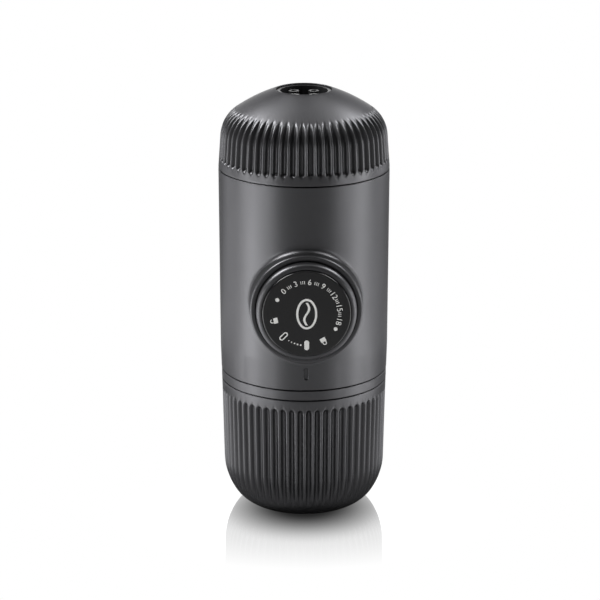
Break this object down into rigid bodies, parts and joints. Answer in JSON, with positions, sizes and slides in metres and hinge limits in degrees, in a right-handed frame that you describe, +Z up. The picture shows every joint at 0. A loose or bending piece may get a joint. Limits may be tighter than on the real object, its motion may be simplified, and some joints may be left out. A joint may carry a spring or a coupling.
{
  "type": "handheld manual espresso maker",
  "caption": "Hand-pumped portable espresso maker: round upright body with a screw-on fluted outlet head, a side piston knob, a screw-in water tank and a fluted push-on cup.",
  "frame": {"origin": "centre of the flat foot of the cup, on the body's long axis", "axes": "+Z up along the long axis towards the outlet head, -Y towards the pump knob's dial, +X to the right as seen from the dial's side"},
  "size_m": [0.062, 0.071, 0.1561],
  "materials": {
    "casing": "satin moulded, fine grain",
    "black_plastic": "moulded, semi-matte",
    "dial_gloss": "gloss with light printed marks",
    "tank_plastic": "smoke-grey translucent",
    "silicone": "matt",
    "steel": "pressed, satin",
    "spring_steel": "drawn wire"
  },
  "bodies": {
    "cup": {"cup": "casing"},
    "tank": {"water_tank": "tank_plastic", "tank_collar": "casing", "grip_ring": "silicone"},
    "tank_ring": {"tank_seal": "silicone"},
    "main_body": {"body_shell": "casing", "brew_neck": "black_plastic", "shower_screen": "steel", "screen_seal": "silicone", "neck_screws": "steel", "tank_socket": "black_plastic", "deck_screws": "steel", "air_valve": "silicone", "pump_frame": "black_plastic", "pump_housing": "black_plastic", "inlet_housing": "black_plastic", "inlet_seat": "silicone", "inlet_spring": "spring_steel", "outlet_housing": "black_plastic", "outlet_seat": "silicone", "outlet_spring": "spring_steel", "relief_housing": "black_plastic", "relief_spring": "spring_steel", "relief_cap": "black_plastic", "return_spring": "spring_steel"},
    "inlet_valve": {"inlet_ball": "steel"},
    "outlet_valve": {"outlet_ball": "steel"},
    "relief_valve": {"relief_poppet": "silicone"},
    "piston": {"piston_rod": "steel", "piston_head": "black_plastic", "piston_seal": "silicone", "knob_screw": "steel"},
    "knob": {"pump_knob": "black_plastic", "dial": "dial_gloss"},
    "basket": {"filter_basket": "steel", "basket_seal": "silicone"},
    "outlet_head": {"head_cap": "casing", "portafilter": "black_plastic", "outlet_nozzle": "black_plastic"}
  },
  "joints": [
    {"name": "piston_stroke", "type": "slide", "parent": "main_body", "child": "piston", "axis": [0, -1, 0], "range_m": [0, 0.018], "deforming": ["return_spring"]},
    {"name": "knob_turn", "type": "hinge", "parent": "piston", "child": "knob", "pos_m": [0, -0.038, 0.0838], "axis": [0, -1, 0], "range_deg": [0, 45]},
    {"name": "head_rise", "type": "slide", "parent": "main_body", "child": "basket", "axis": [0, 0, 1], "range_m": [0, 0.0094]},
    {"name": "head_unscrew", "type": "hinge", "parent": "basket", "child": "outlet_head", "pos_m": [0, 0, 0.1275], "axis": [0, 0, 1], "range_deg": [0, 1080]},
    {"name": "cup_pull", "type": "slide", "parent": "cup", "child": "tank", "axis": [0, 0, 1], "range_m": [0, 0.05]},
    {"name": "tank_unscrew", "type": "hinge", "parent": "tank", "child": "tank_ring", "pos_m": [0, 0, 0.052], "axis": [0, 0, 1], "range_deg": [0, 1080]},
    {"name": "body_rise", "type": "slide", "parent": "tank_ring", "child": "main_body", "axis": [0, 0, 1], "range_m": [0, 0.0094]},
    {"name": "inlet_lift", "type": "slide", "parent": "main_body", "child": "inlet_valve", "axis": [0, 0, 1], "range_m": [0, 0.0012], "stiffness_N_per_m": 40, "springref_m": -0.0015, "deforming": ["inlet_spring"]},
    {"name": "outlet_lift", "type": "slide", "parent": "main_body", "child": "outlet_valve", "axis": [0, 0, 1], "range_m": [0, 0.0012], "stiffness_N_per_m": 40, "springref_m": -0.0015, "deforming": ["outlet_spring"]},
    {"name": "relief_lift", "type": "slide", "parent": "main_body", "child": "relief_valve", "axis": [1, 0, 0], "range_m": [0, 0.001], "stiffness_N_per_m": 60, "springref_m": -0.0015, "deforming": ["relief_spring"]}
  ],
  "couplings": [
    {"joint": "head_rise", "follows": "head_unscrew", "m_per_rad": 0.00049338},
    {"joint": "body_rise", "follows": "tank_unscrew", "m_per_rad": 0.00049338}
  ]
}
